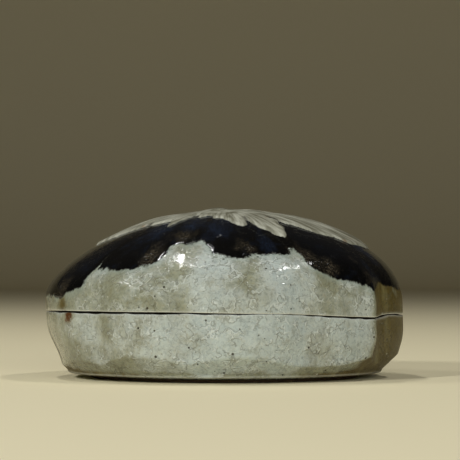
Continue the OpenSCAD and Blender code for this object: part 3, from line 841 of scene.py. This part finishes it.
# The two pieces. For each: how much thinner the glaze lies by azimuth, on the body's bevel or all the lid,
# the darker bevel being painted shade of the downward-facing bevel as well as thinner glaze; thin places (a
# minus makes them thick) and rust spots, as azimuth, height, size in mm and strength; and pale edges, thin
# glaze with a painted highlight along the rims, as height, width and strength
bodyGlaze = {
    # on the body these darken the bevel by azimuth: painted shade of the downward-facing bevel, partly
    # thinner glaze
    "thinRound": [(-90, 0.5), (-50, 0.35), (-27, 0.45), (-14, 0.15), (-5, 0.2), (6, 0.35), (14, 0.5),
                  (23, 0.65), (40, 0.95), (52, 1.5), (70, 0.6), (120, 0.5), (180, 0.5)],
    "thinSpots": [(-59, 11.4, 1.8, 0.3), (16, 7.5, 4.0, -1.2), (-7, 3.2, 2.5, -0.8), (-33, 7.0, 4.0, 0.25),
                  (-80, 5.5, 4.0, 0.5), (-66, 5.0, 4.0, 0.6)],
    "rustSpots": [(-57, 12.0, 1.1, 1.9), (-58, 11.3, 0.8, 1.1), (118, 12.0, 0.9, 0.9)],
    "paleEdgesAndHighlights": [(seamZ, 0.25, 0.4), (bodyForm["baseHeight"] + 0.25, 0.14, 0.4)],
    "bevelShadeStart": (-0.1, 0.35), "darkerNearFoot": 0.8, "footHeights": (2.6, 1.5),
}
lidGlaze = {
    "thinRound": [(-60, 0.3), (-46, 0.35), (-34, 0.4), (-20, 0.55), (-3, 0.55), (8, 0.55), (16, 0.45),
                  (24, 0.3), (31, 0.55), (40, 0.75), (52, 0.2), (62, 0.0), (72, -0.15), (90, -0.1),
                  (110, 0.0), (180, 0.1)],
    "thinSpots": [(-62, 13.6, 2.4, 0.95), (8, 19.4, 3.2, 0.65), (140, 15, 3.0, 0.8)],
    "rustSpots": [(-128, 13.5, 1.2, 0.6)],
    "paleEdgesAndHighlights": [(seamZ + 0.08, 0.1, 0.8)],
}
shellTree = lobedShellTree()


def makeShell(name, node, body, rows, glaze, coat):
    piece = lobedShell(name, rows, glaze, shellTree)
    mesh = piece.data
    rowOf = np.empty(len(mesh.vertices), np.int32)
    mesh.attributes["sectionRow"].data.foreach_get("value", rowOf)
    zone = np.array([row[3] for row in rows])[rowOf]
    sectionRadius = np.array([row[0] for row in rows])[rowOf]
    isWall = zone == zones["wall"]
    rest = readPoints(mesh)
    writePoints(mesh, handShape(rest, isWall, body == "body", sectionRadius))
    if body == "lid":
        lidGlazeRelief(piece, isWall)
    azimuth = azimuthOf(rest)
    z = rest[:, 2]

    def near(side, height, size):  # 1 at a place on the wall, dying away round it
        return swell(np.hypot(sideways(azimuth, side, crestRadius), z - height), size)

    # pale edges: thin glaze along the rims with a painted highlight on them
    edge = sum(strength * swell(z - height, width) for height, width, strength in coat["paleEdgesAndHighlights"])
    rust = np.max([strength * near(*spot) for *spot, strength in coat["rustSpots"]], axis=0)
    depth = np.where(isWall, aroundCurve(glazeDepth, azimuth), insideDepth)
    thinner = aroundCurve(coat["thinRound"], azimuth)
    if body == "body":
        drawn = sectionRadius - np.hypot(rest[:, 0], rest[:, 1])
        # the bevel's glaze is made thinner and darker, painted shade of the downward-facing bevel as well as
        # thinner glaze; the strip just above the foot is made darker still
        thinner *= smoothStep(*coat["bevelShadeStart"], lobedWall(z, drawn, azimuth) - bevelCone(z))
        thinner += coat["darkerNearFoot"] * smoothStep(*coat["footHeights"], z)
    thinner += sum(strength * near(*spot) for *spot, strength in coat["thinSpots"])
    storeValue(mesh, "bare", np.isin(zone, (zones["rim"], zones["foot"])))
    storeValue(mesh, "edge", edge * isWall)
    storeValue(mesh, "pool", depth - thinner * isWall)
    storeValue(mesh, "rust", rust * isWall)
    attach(piece, body)
    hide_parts(node)
    corners = readPoints(mesh)
    low, high = corners.min(0).round(2), corners.max(0).round(2)
    print(f"{name}: {len(mesh.polygons)} faces, low {low}, high {high}")


makeShell("bodyShell", "body", "body", bodySection(bodyForm), ashGlaze(), bodyGlaze)
makeShell("lidShell", "lid", "lid", lidSection(lidForm), ironOverAshGlaze(), lidGlaze)

# Plain pale floor that sweeps up behind, in metres
floorForm = {"half": 3.2, "front": -1.6, "back": 2.2, "sweep": 0.6, "steps": 16, "top": 0.9,
             "colour": "#EEE3BC", "roughness": 0.8}


def palePaper(f):  # matt cream paper: an even floor that takes soft shadows and gives no glints
    material = newMaterial("palePaper")
    tree = material.node_tree
    shader = addNode(tree, "ShaderNodeBsdfPrincipled", {"Base Color": linearColour(f["colour"]),
                                                        "Roughness": f["roughness"]})
    addNode(tree, "ShaderNodeOutputMaterial", {"Surface": shader})
    return material


def paleFloor(f):
    line = [(f["front"], 0.0), (f["back"], 0.0)]
    for step in range(1, f["steps"] + 1):
        turn = math.radians(90 * step / f["steps"])
        line.append((f["back"] + f["sweep"] * math.sin(turn), f["sweep"] * (1 - math.cos(turn))))
    line.append((f["back"] + f["sweep"], f["top"]))
    verts = [(x, y, z) for y, z in line for x in (-f["half"], f["half"])]
    faces = [(2 * i, 2 * i + 1, 2 * i + 3, 2 * i + 2) for i in range(len(line) - 1)]
    mesh = bpy.data.meshes.new("paleFloor")
    mesh.from_pydata(verts, [], faces)
    mesh.shade_smooth()
    floor = bpy.data.objects.new("paleFloor", mesh)
    scene.collection.objects.link(floor)
    mesh.materials.append(palePaper(f))


paleFloor(floorForm)
print("floor: laid")

# Light: a broad soft panel behind the camera, a small key at the front left that casts the shadow, and
# narrow lamps overhead and at the left for the glints, which hang level; places and sizes in metres
lamps = {
    "frontPanel": {"place": (0.26, -1.17, 0.3), "size": (0.8, 0.4), "watts": 6.2, "colour": "#F4F8FF",
                   "shape": "RECTANGLE", "gloss": False},
    "keyLeft": {"place": (-0.62, -0.89, 0.5), "size": (0.1, 0.1), "watts": 6.6, "colour": "#F8FAFF",
                "gloss": False},
    "overheadLeft": {"place": (-0.208, 0.185, 0.851), "size": (0.03, 0.36), "watts": 1.6,
                     "colour": "#FFFFFF", "level": True},
    "overheadRight": {"place": (0.389, -0.014, 0.81), "size": (0.07, 0.3), "watts": 1.6, "colour": "#FFFFFF",
                      "level": True},
    "sideLeft": {"place": (-0.67, -0.05, 0.65), "size": (0.022, 0.42), "watts": 1.5, "colour": "#FFFFFF",
                 "level": True},
}
lampAim = Vector((0, 0, 0.015))
roomLight = {"Color": linearColour("#F0E2C8"), "Strength": 0.04}
for name, lamp in lamps.items():
    light = bpy.data.lights.new(name, "AREA")
    light.shape = lamp.get("shape", "ELLIPSE")
    light.size, light.size_y = lamp["size"]
    light.energy = lamp["watts"]
    light.color = linearColour(lamp["colour"])[:3]
    holder = bpy.data.objects.new(name, light)
    scene.collection.objects.link(holder)
    holder.location = lamp["place"]
    if not lamp.get("level"):
        holder.rotation_euler = (lampAim - Vector(lamp["place"])).to_track_quat("-Z", "Y").to_euler()
    holder.visible_camera = False
    holder.visible_glossy = lamp.get("gloss", True)
world = bpy.data.worlds.new("softRoom")
world.use_nodes = True
for name, value in roomLight.items():
    world.node_tree.nodes["Background"].inputs[name].default_value = value
scene.world = world
print(f"light: {len(lamps)} lamps")

# Camera: low and level with the lid, as a photograph taken from the table's edge, in mm
cameraView = {"place": (0.0, -450.0, 21.1), "target": (1.15, 0.0, 29.45), "lens": 174.9, "sensor": 36.0}
camera = bpy.data.cameras.new("tableView")
camera.lens = cameraView["lens"]
camera.sensor_width = cameraView["sensor"]
cameraHolder = bpy.data.objects.new("tableView", camera)
scene.collection.objects.link(cameraHolder)
cameraHolder.location = Vector(cameraView["place"]) * mm
aim = Vector(cameraView["target"]) - Vector(cameraView["place"])
cameraHolder.rotation_euler = aim.to_track_quat("-Z", "Y").to_euler()
scene.camera = cameraHolder
print(f"camera: {cameraView['lens']} mm lens")
